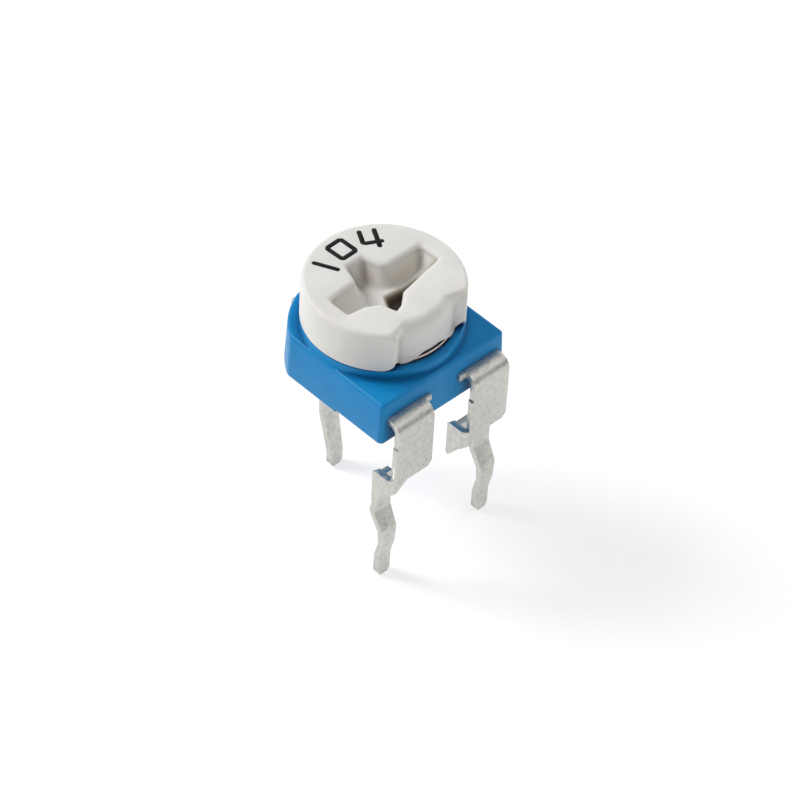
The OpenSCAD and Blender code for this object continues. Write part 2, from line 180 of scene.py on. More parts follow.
# --- Digits on the rotor's face ----------------------------------------------------
DIGIT_INK_T = 0.006
DIGIT_STROKE = 0.18
STROKE_STEP = 0.0005        # by which each piece of a stroke lies over the one before
DIGIT_R0 = 1.72             # foot of a digit, from the rotor's axis
DIGIT_H = 0.82
DIGITS = [
    (122, [[(0.02, 1.08), (-0.06, 0.0)]]),
    (92, [[(-0.34, 0.98), (0.22, 0.98), (0.29, 0.9), (0.29, 0.08), (0.22, 0.0), (-0.34, 0.0),
           (-0.4, 0.08), (-0.41, 0.9), (-0.34, 0.98)]]),
    (62, [[(-0.26, 1.0), (-0.27, 0.3), (-0.2, 0.24), (0.42, 0.24)], [(0.3, 1.0), (0.28, -0.04)]]),
]


# --- Shape helpers -------------------------------------------------------------------
def mesh_object(name, bm, body):
    """Object from a bmesh in millimetres, smooth shaded and riding on a CAD body."""
    bmesh.ops.recalc_face_normals(bm, faces=bm.faces)
    mesh = bpy.data.meshes.new(name)
    bm.transform(Matrix.Scale(MM, 4))
    bm.to_mesh(mesh)
    bm.free()
    mesh.shade_smooth()
    obj = bpy.data.objects.new(name, mesh)
    bpy.context.collection.objects.link(obj)
    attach(obj, body)
    return obj


def weight_normals(obj):
    """Keeps flat faces flat between their rounded edges."""
    modifier = obj.modifiers.new("face weighted normals", "WEIGHTED_NORMAL")
    modifier.weight = 100
    modifier.keep_sharp = True


def quarter(steps):
    """(sine, cosine) pairs from 0 to 90 degrees."""
    return [(math.sin(a), math.cos(a)) for a in np.linspace(0, math.pi / 2, steps + 1)]


def fillet(points, radii, closed=True, steps=8):
    """Polyline whose corners are arcs of the given radii."""
    count = len(points)
    result = []
    for i, (x, y) in enumerate(points):
        if not closed and i in (0, count - 1) or radii[i] <= 0:
            result.append((x, y))
            continue
        here = Vector((x, y))
        before = (Vector(points[i - 1]) - here).normalized()
        after = (Vector(points[(i + 1) % count]) - here).normalized()
        half = math.acos(max(-1, min(1, before.dot(after)))) / 2
        reach = radii[i] / math.tan(half)
        centre = here + (before + after).normalized() * (radii[i] / math.sin(half))
        start, end = here + before * reach - centre, here + after * reach - centre
        for k in range(steps + 1):
            spoke = start.lerp(end, k / steps).normalized() * radii[i]
            result.append(tuple(centre + spoke))
    return np.array(result)


def offset_polygon(points, distance):
    """Counterclockwise polygon with each side moved outwards."""
    count = len(points)
    result = []
    for i in range(count):
        before = Vector(points[i]) - Vector(points[i - 1])
        after = Vector(points[(i + 1) % count]) - Vector(points[i])
        n0 = Vector((before.y, -before.x)).normalized()
        n1 = Vector((after.y, -after.x)).normalized()
        result.append(tuple(Vector(points[i]) + (n0 + n1) * distance / (1 + n0.dot(n1))))
    return result


def radius_towards(outline, angles):
    """Distance from the axis to a closed outline in each direction."""
    closed = np.vstack([outline, outline[:1]])
    turn = np.unwrap(np.arctan2(closed[:, 1], closed[:, 0]))
    wanted = turn[0] + (angles - turn[0]) % (2 * math.pi)
    i = np.clip(np.searchsorted(turn, wanted, side="right") - 1, 0, len(outline) - 1)
    start, side = closed[i], closed[i + 1] - closed[i]
    cross = start[:, 0] * side[:, 1] - start[:, 1] * side[:, 0]
    return cross / (np.cos(angles) * side[:, 1] - np.sin(angles) * side[:, 0])


def soft_min(one, two, width):
    """The smaller of two values, with a smooth change between them."""
    share = np.clip(0.5 + (two - one) / (2 * width), 0, 1)
    return two + (one - two) * share - width * share * (1 - share)


def smooth(value):
    """Smooth step from 0 to 1, held beyond."""
    value = np.clip(value, 0, 1)
    return value * value * (3 - 2 * value)


def angle_from(angles, place):
    """Degrees between each angle and a direction given in degrees."""
    return np.abs((np.degrees(angles) - place + 180) % 360 - 180)


def share_near(angles, place, half, change):
    """1 near a direction, 0 past half an angle from it, with a smooth change between."""
    return smooth((half - angle_from(angles, place)) / change + 0.5)


def direction_set(step, dense):
    """Angles all the way round at a step in degrees, closer together near some places."""
    angles = list(np.arange(0, 360, step))
    for place, reach, fine in dense:
        angles += list(np.arange(place - reach, place + reach, fine) % 360)
    return np.radians(np.unique(np.round(angles, 3)))


def add_loops(bm, angles, loops, first_pole=None, last_pole=None, closed=False):
    """Skin over loops, each given as radius and height; a pole closes an end on the axis."""
    cos, sin = np.cos(angles), np.sin(angles)
    rings = []
    for radius, z in loops:
        radius, z = np.broadcast_to(radius, cos.shape), np.broadcast_to(z, cos.shape)
        rings.append([bm.verts.new(p) for p in zip(radius * cos, radius * sin, z)])
    pairs = list(zip(rings, rings[1:]))
    if closed:
        pairs.append((rings[-1], rings[0]))
    count = len(angles)
    for low, high in pairs:
        for i in range(count):
            j = (i + 1) % count
            bm.faces.new((low[i], low[j], high[j], high[i]))
    for pole, ring in ((first_pole, rings[0]), (last_pole, rings[-1])):
        if pole is not None:
            tip = bm.verts.new((0, 0, pole))
            for i in range(count):
                bm.faces.new((ring[i], ring[(i + 1) % count], tip))


def add_sector(bm, r0, r1, a0, a1, z0, z1, steps=24):
    """Block between two radii, two angles and two heights."""
    arc = [math.radians(a) for a in np.linspace(a0, a1, steps + 1)]
    ends = [[[bm.verts.new((r * math.cos(a), r * math.sin(a), z)) for z in (z0, z1)]
             for r in (r0, r1)] for a in arc]
    for one, two in zip(ends, ends[1:]):
        bm.faces.new((one[0][1], one[1][1], two[1][1], two[0][1]))
        bm.faces.new((one[0][0], two[0][0], two[1][0], one[1][0]))
        bm.faces.new((one[0][0], one[0][1], two[0][1], two[0][0]))
        bm.faces.new((one[1][0], two[1][0], two[1][1], one[1][1]))
    for end in (ends[0], ends[-1]):
        bm.faces.new((end[0][0], end[0][1], end[1][1], end[1][0]))


# --- Housing -------------------------------------------------------------------------
def housing_outline(inset, angles):
    """Distance from the axis to the block's side faces, moved inwards by the inset."""
    x, y = HALF_WIDTH - inset, HALF_LENGTH - inset
    corners = [(-x, -y), (x, -y), (x, y), (-x, y)]
    front = max(FRONT_CORNER_R - inset, 0.04)
    flat = radius_towards(fillet(corners, [front, front, 0, 0], steps=16), angles)
    round_back = np.where(np.sin(angles) > 0, BACK_R - inset, 2 * BACK_R)
    return soft_min(flat, round_back, BACK_BLEND)


def make_housing():
    edge, ring_edge = EDGE_R, RING_EDGE_R
    # Directions of the front corners, the relief's ends and the ends of the round back
    corner = math.degrees(math.atan2(HALF_LENGTH, HALF_WIDTH))
    jog = math.degrees(math.atan2(-RELIEF_Y, HALF_WIDTH))
    side_end = math.degrees(math.acos(HALF_WIDTH / BACK_R))
    back_end = math.degrees(math.asin(HALF_LENGTH / BACK_R))
    dense = [(place, 3, 0.15) for place in (180 + corner, 360 - corner)]
    dense += [(place, 0.6, 0.1) for place in (180 + jog, 360 - jog)]
    dense += [(place, 3, 0.25) for place in (side_end, back_end, 180 - back_end, 180 - side_end)]
    angles = direction_set(0.75, dense)
    arc = quarter(5)
    loops = [(BEARING_R, POCKET_Z), (BEARING_R, HEAD_ROOM_Z), (HEAD_ROOM_R, HEAD_ROOM_Z),
             (HEAD_ROOM_R, HOUSING_Z0 + HEAD_ROOM_CUT), (HEAD_ROOM_R + HEAD_ROOM_CUT, HOUSING_Z0)]
    # Underside, then the lower edge, the side faces and the upper edge
    for s, c in arc:
        loops.append((housing_outline(edge * (1 - s) - DRAFT, angles), HOUSING_Z0 + edge * (1 - c)))
    for s, c in arc:
        radius = np.maximum(housing_outline(edge * (1 - c), angles), RING_R)
        loops.append((radius, HOUSING_Z1 - edge * (1 - s)))
    # Hollow at the ring's foot, as wide as the face beside it allows, then the ring's two edges
    foot = np.clip(radius - RING_R, 0, RING_FOOT_R)
    for s, c in arc:
        loops.append((RING_R + foot * (1 - s), HOUSING_Z1 + foot * (1 - c)))
    for s, c in arc:
        loops.append((RING_R - ring_edge * (1 - c), RING_Z1 - ring_edge * (1 - s)))
    for s, c in arc:
        loops.append((POCKET_R + ring_edge * (1 - s), RING_Z1 - ring_edge * (1 - c)))
    loops.append((POCKET_R, POCKET_Z))
    bm = bmesh.new()
    add_loops(bm, angles, loops, closed=True)
    # Relief under the front: everything low down in front of a line is raised
    jog_w = 0.01
    for y in (RELIEF_Y, RELIEF_Y - jog_w):
        bmesh.ops.bisect_plane(bm, geom=bm.verts[:] + bm.edges[:] + bm.faces[:], dist=1e-5,
                               plane_co=(0, y, 0), plane_no=(0, 1, 0))
    for vert in bm.verts:
        if vert.co.y < RELIEF_Y - jog_w / 2 and vert.co.z < HOUSING_Z0 + edge + 1e-4:
            vert.co.z += RELIEF_H
    add_sector(bm, STOP_R, POCKET_R + 0.1, FRONT - STOP_HALF_ANGLE, FRONT + STOP_HALF_ANGLE,
               POCKET_Z, STOP_Z1)
    obj = mesh_object("housing_shell", bm, "base")
    weight_normals(obj)
    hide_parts("housing")
    return obj


# --- Rotor -----------------------------------------------------------------------------
def slot_corners():
    """Corners of the slots from above, counterclockwise, each with its radius."""
    e, w, m, b = SLOT_HALF_LENGTH, SLOT_HALF_WIDTH, SLOT_MID_HALF_WIDTH, SLOT_BACK
    flared = w + SLOT_FLARE
    return [
        (-e, -w, 0.12), (-1.46, -flared, 0.2), (-0.935, -m, 0.08),      # left arm
        (-0.76, -1.42, 0.06), (-0.41, -1.3, 0.08), (0.115, -m, 0.1),    # point in front
        (e, -w, 0.1), (e, w, 0.2), (0.44, w, 0.35),                     # right arm
        (0.17, b, 0.15), (-0.57, b, 0.1),                               # short arm behind
        (-0.84, flared, 0.3), (-e, w, 0.15)]                            # left arm again


def slot_outline(offset):
    """The slots' outline with rounded corners, moved outwards by the offset."""
    corners = offset_polygon([(x, y) for x, y, r in slot_corners()], offset)
    return fillet(corners, [r for x, y, r in slot_corners()], steps=6)


def slot_radius(offset, angles):
    """Distance from the axis to the slots' outline, moved outwards by the offset."""
    return radius_towards(slot_outline(offset), angles)


def slot_inside(distance, angles):
    """Distance from the axis, in each direction, to where the slots' walls come this near."""
    share = np.linspace(0, 1, 160)[:, None]
    radius = share * slot_radius(0, angles)
    x, y = radius * np.cos(angles), radius * np.sin(angles)
    # Distance from points along each direction to the nearest wall
    gap = np.full(x.shape, np.inf)
    corners = [tuple(point) for point in slot_outline(0)]
    for (x0, y0), (x1, y1) in zip(corners, corners[1:] + corners[:1]):
        along = ((x - x0) * (x1 - x0) + (y - y0) * (y1 - y0)) / ((x1 - x0) ** 2 + (y1 - y0) ** 2)
        along = np.clip(along, 0, 1)
        gap = np.minimum(gap, np.hypot(x - x0 - along * (x1 - x0), y - y0 - along * (y1 - y0)))
    gap[-1] = 0
    first = np.argmax(gap < distance, axis=0)
    columns = np.arange(len(angles))
    before, after = gap[first - 1, columns], gap[first, columns]
    place = first - 1 + (before - distance) / (before - after)
    return place / (len(share) - 1) * radius[-1]


def slot_floor(radius, angles):
    """Height of the slots' floor: deepest along the front walls, rising towards the ends."""
    x, y = radius * np.cos(angles), radius * np.sin(angles)
    rise = (np.abs(x) - SHELF_HALF_LENGTH) / (SLOT_HALF_LENGTH - SHELF_HALF_LENGTH)
    shelf = SHELF_DEPTH + np.clip(rise, 0, 1) * (SLOT_END_DEPTH - SHELF_DEPTH)
    # The deep part lies in front of one line across the slots and to the right of another
    in_front = 0.12 - 0.16 * x - y
    to_right = 0.09 + 0.88 * x - 0.48 * y
    deep = smooth(soft_min(in_front, to_right, SHELF_CORNER) / SHELF_SLOPE)
    return ROTOR_Z1 - shelf - (SLOT_DEPTH - SHELF_DEPTH) * deep


def lobe_lift(angles):
    """Lift of the rotor's lower edge that rounds the corners beside the notch."""
    start = NOTCH_HALF_ANGLE + 0.35 * NOTCH_WALL_ANGLE      # where the skirt has its full radius
    past = angle_from(angles, FRONT) - start
    length, height = LOBE_CORNER
    along = np.clip(np.radians(past) * ROTOR_R / length, 0, 1)
    rounded = 1 - np.sqrt(1 - (1 - along) ** 2)
    return height * np.where(past > 0, rounded, np.clip(1 + past / NOTCH_WALL_ANGLE, 0, 1))


def make_rotor():
    notch_ends = (FRONT - NOTCH_HALF_ANGLE, FRONT + NOTCH_HALF_ANGLE)
    angles = direction_set(0.5, [(place, 7, 0.2) for place in notch_ends])
    notch = share_near(angles, FRONT, NOTCH_HALF_ANGLE, NOTCH_WALL_ANGLE)
    bared = share_near(angles, FRONT, BARE_HALF_ANGLE, BARE_SLOPE_ANGLE)
    outer = ROTOR_R - NOTCH_DEPTH * notch
    spread_foot = NOTCH_FOOT * notch * (1 - bared)
    under = ROTOR_Z0 - RIM_SINK + lobe_lift(angles) + NOTCH_LIFT * bared
    arc = quarter(5)
    # Blind bore, staked head, pivot and the flat underside
    loops = [(PIVOT_BORE_R, ROTOR_Z0), (PIVOT_BORE_R, HEAD_Z0 + PIVOT_BORE_CUT),
             (PIVOT_BORE_R + PIVOT_BORE_CUT, HEAD_Z0)]
    for s, c in arc:
        loops.append((HEAD_R - HEAD_EDGE_R * (1 - s), HEAD_Z0 + HEAD_EDGE_R * (1 - c)))
    head_z1 = HEAD_Z0 + HEAD_T
    loops += [(HEAD_R, head_z1 - HEAD_CUT), (HEAD_R - HEAD_CUT, head_z1),
              (PIVOT_R, head_z1), (PIVOT_R, ROTOR_Z0), (CEILING_R, ROTOR_Z0)]
    # Lower edge, side and rim; at the rim the notch's end walls fade out
    for s, c in arc:
        loops.append((outer + spread_foot - FOOT_R * (1 - s), under + FOOT_R * (1 - c)))
    for s, c in arc:
        loops.append((outer + spread_foot * (1 - s), under + FOOT_R + 2 * NOTCH_FOOT * (1 - c)))
    for s, c in quarter(8):
        share = share_near(angles, FRONT, NOTCH_HALF_ANGLE, NOTCH_WALL_ANGLE + s * NOTCH_FADE_ANGLE)
        rim_w, rim_h = (RIM_R + (most - RIM_R) * share for most in NOTCH_RIM)
        loops.append((ROTOR_R - NOTCH_DEPTH * share - rim_w * (1 - c), ROTOR_Z1 - rim_h * (1 - s)))
    # Lip of the slots, then their walls, steep in front, which curve into the floor
    for s, c in arc:
        loops.append((slot_radius(SLOT_LIP_R * (1 - s), angles), ROTOR_Z1 - SLOT_LIP_R * (1 - c)))
    steep = share_near(angles, FRONT_WALL_AT, FRONT_WALL_HALF_ANGLE, FRONT_WALL_CHANGE_ANGLE)
    lean = WALL_LEAN + (FRONT_WALL_LEAN - WALL_LEAN) * steep
    top = ROTOR_Z1 - SLOT_LIP_R
    for share in np.linspace(0, 1, 9)[1:]:
        inner = slot_inside(lean * share, angles)
        drop = 1 - (1 - share) ** WALL_BEND
        loops.append((inner, top + (slot_floor(inner, angles) - top) * drop))
    # Floor
    for share in np.linspace(1, 0, 20)[1:-1]:
        loops.append((inner * share, slot_floor(inner * share, angles)))
    bm = bmesh.new()
    add_loops(bm, angles, loops, first_pole=ROTOR_Z0, last_pole=slot_floor(0, 0))
    add_sector(bm, STOP_R, LUG_R, BACK - LUG_HALF_ANGLE, BACK + LUG_HALF_ANGLE,
               LUG_Z0, ROTOR_Z0 + 0.01)
    obj = mesh_object("rotor_knob", bm, "rotor")
    weight_normals(obj)
    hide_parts("rotor")
    return obj


def make_wiper_rim():
    """Rolled rim of the wiper, bared by the middle of the notch."""
    bm = bmesh.new()
    steps = 10
    rings = []
    for place in np.linspace(FRONT - WIPER_RIM_HALF_ANGLE, FRONT + WIPER_RIM_HALF_ANGLE, 40):
        a = math.radians(place)
        ring = []
        for turn in np.linspace(0, 2 * math.pi, steps, endpoint=False):
            r = WIPER_RIM_R + WIPER_RIM_WIRE_R * math.cos(turn)
            z = ROTOR_Z0 + WIPER_RIM_WIRE_R * (1 + math.sin(turn))
            ring.append(bm.verts.new((r * math.cos(a), r * math.sin(a), z)))
        rings.append(ring)
    for one, two in zip(rings, rings[1:]):
        for k in range(steps):
            bm.faces.new((one[k], one[k - 1], two[k - 1], two[k]))
    for ring in (rings[0], rings[-1]):
        bm.faces.new(ring)
    return mesh_object("wiper_rim", bm, "rotor")


def add_stroke(bm, points, width, z0, z1):
    """Flat ink stroke with round ends and joints, in pieces that lie a little over each other."""
    steps = 10
    for piece, ((x0, y0), (x1, y1)) in enumerate(zip(points, points[1:])):
        z1 += STROKE_STEP * (piece > 0)
        heading = math.atan2(y1 - y0, x1 - x0)
        outline = []
        for (x, y), start in (((x1, y1), heading - math.pi / 2), ((x0, y0), heading + math.pi / 2)):
            for k in range(steps + 1):
                a = start + math.pi * k / steps
                outline.append((x + width / 2 * math.cos(a), y + width / 2 * math.sin(a)))
        low = [bm.verts.new((x, y, z0)) for x, y in outline]
        high = [bm.verts.new((x, y, z1)) for x, y in outline]
        bm.faces.new(high)
        bm.faces.new(low[::-1])
        for i in range(len(low)):
            j = (i + 1) % len(low)
            bm.faces.new((low[i], low[j], high[j], high[i]))


def make_digits():
    bm = bmesh.new()
    for angle, strokes in DIGITS:
        a = math.radians(angle)
        for stroke in strokes:
            placed = []
            for across, up in stroke:
                r = DIGIT_R0 + up * DIGIT_H
                placed.append((r * math.cos(a) + across * math.sin(a),
                               r * math.sin(a) - across * math.cos(a)))
            add_stroke(bm, placed, DIGIT_STROKE, ROTOR_Z1 - DIGIT_INK_T, ROTOR_Z1 + DIGIT_INK_T)
    return mesh_object("value_digits", bm, "rotor")


# --- Terminals -----------------------------------------------------------------------
class Sheet:
    """Middle surface of a folded sheet; patches that meet share their vertices."""

    def __init__(self):
        self.bm = bmesh.new()
        self.found = {}

    def vertex(self, point):
        key = tuple(round(float(c), 5) for c in point)
        if key not in self.found:
            self.found[key] = self.bm.verts.new(key)
        return self.found[key]

    def patch(self, columns):
        """Faces between columns of points; points that fall together make triangles."""
        for one, two in zip(columns, columns[1:]):
            for a, b, c, d in zip(one, two, two[1:], one[1:]):
                corners = list(dict.fromkeys(self.vertex(p) for p in (a, b, c, d)))
                if len(corners) > 2 and not self.bm.faces.get(corners):
                    self.bm.faces.new(corners)


def arc_points(centre, radius, a0, a1, steps):
    """Points of an arc from one angle to another, in degrees."""
    turns = [math.radians(a) for a in np.linspace(a0, a1, steps + 1)]
    return [(centre[0] + radius * math.cos(a), centre[1] + radius * math.sin(a)) for a in turns]


def half_width(z):
    """Half the width of a lead at a height below the board."""
    taper = np.interp(z, [-2.2, -1.0], [TIP_HALF, SHOULDER_HALF])
    return float(taper * np.interp(z, [FLOOR_Z, FLOOR_Z + TIP_L], [TIP_NARROWING, 1]))


def make_terminal(name, node, plate_x, lead_x, wall_y, path, stub_side):
    """Folded terminal at the front; the caller turns the back one round."""
    x0, x1 = plate_x - PLATE_W / 2, plate_x + PLATE_W / 2
    fold_y = -PLATE_FACE + TOP_FOLD_INNER_R + SHEET_T
    mid_y = -PLATE_FACE + SHEET_T / 2
    inner_y = -HALF_LENGTH + STRIP_REACH
    wing_x = x0 - WING_FOLD_R
    # Heights of the sheet's rows, so that patches which meet share them
    levels = [EAR_TOP, 2.5, 2.0, WING_TOP, PLATE_Z + CORNER_CUT, PLATE_Z, 1.1, WING_LOW,
              0.55, 0.3, 0.12, 0]

    def plate_low(x):
        return float(np.interp(x, [x0, x0 + NECK_W, x1 - CORNER_CUT, x1],
                               [WING_LOW, PLATE_Z, PLATE_Z, PLATE_Z + CORNER_CUT]))

    def wing_low(y):
        return float(np.interp(y, [mid_y, wall_y - WING_FOLD_R], [WING_LOW, 0]))

    sheet = Sheet()
    # Strip, top fold and plate
    top = [(y, STRIP_Z) for y in (inner_y, fold_y + SHEET_T)]
    top += arc_points((fold_y, STRIP_Z - TOP_FOLD_R), TOP_FOLD_R, 90, 180, 10)
    columns = []
    for x in [x0, x0 + NECK_W / 2, x0 + NECK_W, plate_x, x1 - CORNER_CUT, x1]:
        column = [(x, y, z) for y, z in top]
        column += [(x, mid_y, max(z, plate_low(x))) for z in levels]
        columns.append(column)
    sheet.patch(columns)
    # Stub of the tie bar that joined the terminals
    if stub_side:
        root = x0 if stub_side < 0 else x1
        ends = [root, root + stub_side * STUB_L]
        sheet.patch([[(x, fold_y + SHEET_T, STRIP_Z), (x, fold_y, STRIP_Z)] for x in ends])
    # First fold, with the narrower ear above it
    low_levels = [z for z in levels if z <= WING_TOP]
    high_levels = [z for z in levels if z >= WING_TOP]
    fold = arc_points((x0, mid_y + WING_FOLD_R), WING_FOLD_R, 270, 180, 8)
    sheet.patch([[(x, y, max(z, wing_low(y))) for z in low_levels] for x, y in fold])
    sheet.patch([[(x, y, z) for z in high_levels] for x, y in fold if x > x0 - EAR_W + SHEET_T / 2])
    # Wing, second fold and the return wall with the lead's shoulder
    lead_left = max(lead_x - SHOULDER_HALF, x0)
    plan = [(wing_x, y) for y in np.linspace(mid_y + WING_FOLD_R, wall_y - WING_FOLD_R, 5)]
    plan += arc_points((x0, wall_y - WING_FOLD_R), WING_FOLD_R, 180, 90, 6)[1:]
    plan += [(x, wall_y) for x in (lead_left, lead_x, lead_x + SHOULDER_HALF)]
    columns = []
    for x, y in plan:
        high = np.interp(x, [wing_x, x0], [WING_TOP, WALL_TOP])
        columns.append([(x, y, min(max(z, wing_low(y)), high)) for z in low_levels])
    sheet.patch(columns)
    # Lead with its kink
    bends = fillet(path, [BEND_R] * len(path), closed=False, steps=6)
    rows = [(wall_y - step, z) for step, z in bends]
    rows = rows[:-1] + [(rows[-1][0], FLOOR_Z + TIP_L), rows[-1]]
    left_edge = [(lead_x - half_width(z)) if z < ROOT_Z else
                 lead_left + (lead_x - SHOULDER_HALF - lead_left) * z / ROOT_Z for _, z in rows]
    sheet.patch([[(x, y, z) for x, (y, z) in zip(left_edge, rows)],
                 [(lead_x, y, z) for y, z in rows],
                 [(lead_x + half_width(z), y, z) for y, z in rows]])
    obj = mesh_object(name, sheet.bm, "base")
    solid = obj.modifiers.new("sheet thickness", "SOLIDIFY")
    solid.thickness = SHEET_T * MM
    solid.offset = 0
    solid.use_even_offset = True
    bevel = obj.modifiers.new("sheared edges", "BEVEL")
    bevel.limit_method = "ANGLE"
    bevel.angle_limit = math.radians(55)
    bevel.width = EDGE_CUT * MM
    bevel.segments = 2
    weight_normals(obj)
    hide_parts(node)
    return obj


def make_terminals():
    left = make_terminal("terminal_end_left", "end_terminal_left", -PLATE_X, -LEAD_X,
                         wall_y=-FRONT_ROW, path=FRONT_PATH, stub_side=1)
    right = make_terminal("terminal_end_right", "end_terminal_right", PLATE_X, LEAD_X,
                          wall_y=-FRONT_ROW, path=FRONT_PATH, stub_side=-1)
    # Turned round, its lead's kink still steps forwards as the others' do
    back_path = [(-step, z) for step, z in BACK_PATH]
    back = make_terminal("terminal_wiper", "wiper_terminal", 0, 0,
                         wall_y=-BACK_ROW, path=back_path, stub_side=0)
    back.data.transform(Matrix.Rotation(math.pi, 4, "Z"))
    return [left, right, back]


# --- Materials ---------------------------------------------------------------------------
def new_material(name, color, metallic=0.0, roughness=0.5, specular=0.5):
    """A material with one principled shader; gives the material, its node tree and the shader."""
    material = bpy.data.materials.new(name)
    material.use_nodes = True
    shader = material.node_tree.nodes["Principled BSDF"]
    shader.inputs["Base Color"].default_value = (*color, 1)
    shader.inputs["Metallic"].default_value = metallic
    shader.inputs["Roughness"].default_value = roughness
    shader.inputs["Specular IOR Level"].default_value = specular
    return material, material.node_tree, shader


def noise(tree, per_mm, detail=4.0, roughness=0.5, stretch=(1, 1, 1)):
    """Noise in the object's own space, with a scale given per millimetre."""
    place = tree.nodes.new("ShaderNodeTexCoord")
    mapping = tree.nodes.new("ShaderNodeMapping")
    mapping.inputs["Scale"].default_value = [s / MM for s in stretch]
    texture = tree.nodes.new("ShaderNodeTexNoise")
    texture.inputs["Scale"].default_value = per_mm
    texture.inputs["Detail"].default_value = detail
    texture.inputs["Roughness"].default_value = roughness
    tree.links.new(place.outputs["Object"], mapping.inputs["Vector"])
    tree.links.new(mapping.outputs["Vector"], texture.inputs["Vector"])
    return texture.outputs["Fac"]


def ramp(tree, value, stops):
    """Colour ramp over a value; each stop is a position and a colour."""
    node = tree.nodes.new("ShaderNodeValToRGB")
    elements = node.color_ramp.elements
    while len(elements) < len(stops):
        elements.new(0.5)
    for element, (position, color) in zip(elements, stops):
        element.position = position
        element.color = (*color, 1) if len(color) == 3 else color
    tree.links.new(value, node.inputs["Fac"])
    return node.outputs["Color"]


def spread(tree, value, low, high, start=0.35, end=0.65):
    """Maps a value from start to end onto low to high, and holds it beyond."""
    node = tree.nodes.new("ShaderNodeMapRange")
    for name, number in (("From Min", start), ("From Max", end), ("To Min", low), ("To Max", high)):
        node.inputs[name].default_value = number
    tree.links.new(value, node.inputs["Value"])
    return node.outputs["Result"]


def bump(tree, shader, height, depth_mm, strength=1.0):
    """Surface relief from a height value."""
    node = tree.nodes.new("ShaderNodeBump")
    node.inputs["Distance"].default_value = depth_mm * MM
    node.inputs["Strength"].default_value = strength
    tree.links.new(height, node.inputs["Height"])
    tree.links.new(node.outputs["Normal"], shader.inputs["Normal"])


def blend_colors(tree, share, one, two, blend="MIX"):
    """Mix of two colours by a share that a node gives, or all of it without one."""
    node = tree.nodes.new("ShaderNodeMix")
    node.data_type = "RGBA"
    node.blend_type = blend
    for socket, value in ((node.inputs["A"], one), (node.inputs["B"], two)):
        if hasattr(value, "links"):
            tree.links.new(value, socket)
        else:
            socket.default_value = (*value, 1)
    if share is None:
        node.inputs["Factor"].default_value = 1
    else:
        tree.links.new(share, node.inputs["Factor"])
    return node.outputs[2]


def openness(tree, reach_mm, shut, open_):
    """Share of free space near the surface, from 0 in a crevice to 1 in the open."""
    node = tree.nodes.new("ShaderNodeAmbientOcclusion")
    node.samples = 16
    node.inputs["Distance"].default_value = reach_mm * MM
    return spread(tree, node.outputs["AO"], 0, 1, shut, open_)


def within(tree, radius_mm):
    """1 near the rotor's axis, 0 past this radius."""
    place = tree.nodes.new("ShaderNodeTexCoord")
    flat = tree.nodes.new("ShaderNodeVectorMath")
    flat.operation = "MULTIPLY"
    flat.inputs[1].default_value = (1, 1, 0)
    tree.links.new(place.outputs["Object"], flat.inputs[0])
    reach = tree.nodes.new("ShaderNodeVectorMath")
    reach.operation = "LENGTH"
    tree.links.new(flat.outputs["Vector"], reach.inputs[0])
    return spread(tree, reach.outputs["Value"], 1, 0, 0.97 * radius_mm * MM, 1.03 * radius_mm * MM)


def height_share(tree, z0_mm, z1_mm):
    """0 below the first height, 1 above the second."""
    place = tree.nodes.new("ShaderNodeTexCoord")
    axes = tree.nodes.new("ShaderNodeSeparateXYZ")
    tree.links.new(place.outputs["Object"], axes.inputs["Vector"])
    return spread(tree, axes.outputs["Z"], 0, 1, z0_mm * MM, z1_mm * MM)


def housing_material():
    material, tree, shader = new_material("blue_moulding", (0.002, 0.21, 0.5),
                                          roughness=0.4, specular=0.22)
    cloud = noise(tree, 0.5, detail=3)
    color = ramp(tree, cloud, [(0.35, (0.001, 0.2, 0.475)), (0.65, (0.003, 0.222, 0.515))])
    # Painted shade: the blue darkens to navy where the surface is enclosed, round the ring's foot and
    # under the rotor
    color = blend_colors(tree, openness(tree, 0.45, 0.4, 0.9), (0.0, 0.05, 0.17), color)
    tree.links.new(color, shader.inputs["Base Color"])
    tree.links.new(spread(tree, noise(tree, 2.5), 0.34, 0.46), shader.inputs["Roughness"])
    bump(tree, shader, noise(tree, 14, detail=6, roughness=0.6), 0.006, 0.5)
    return material


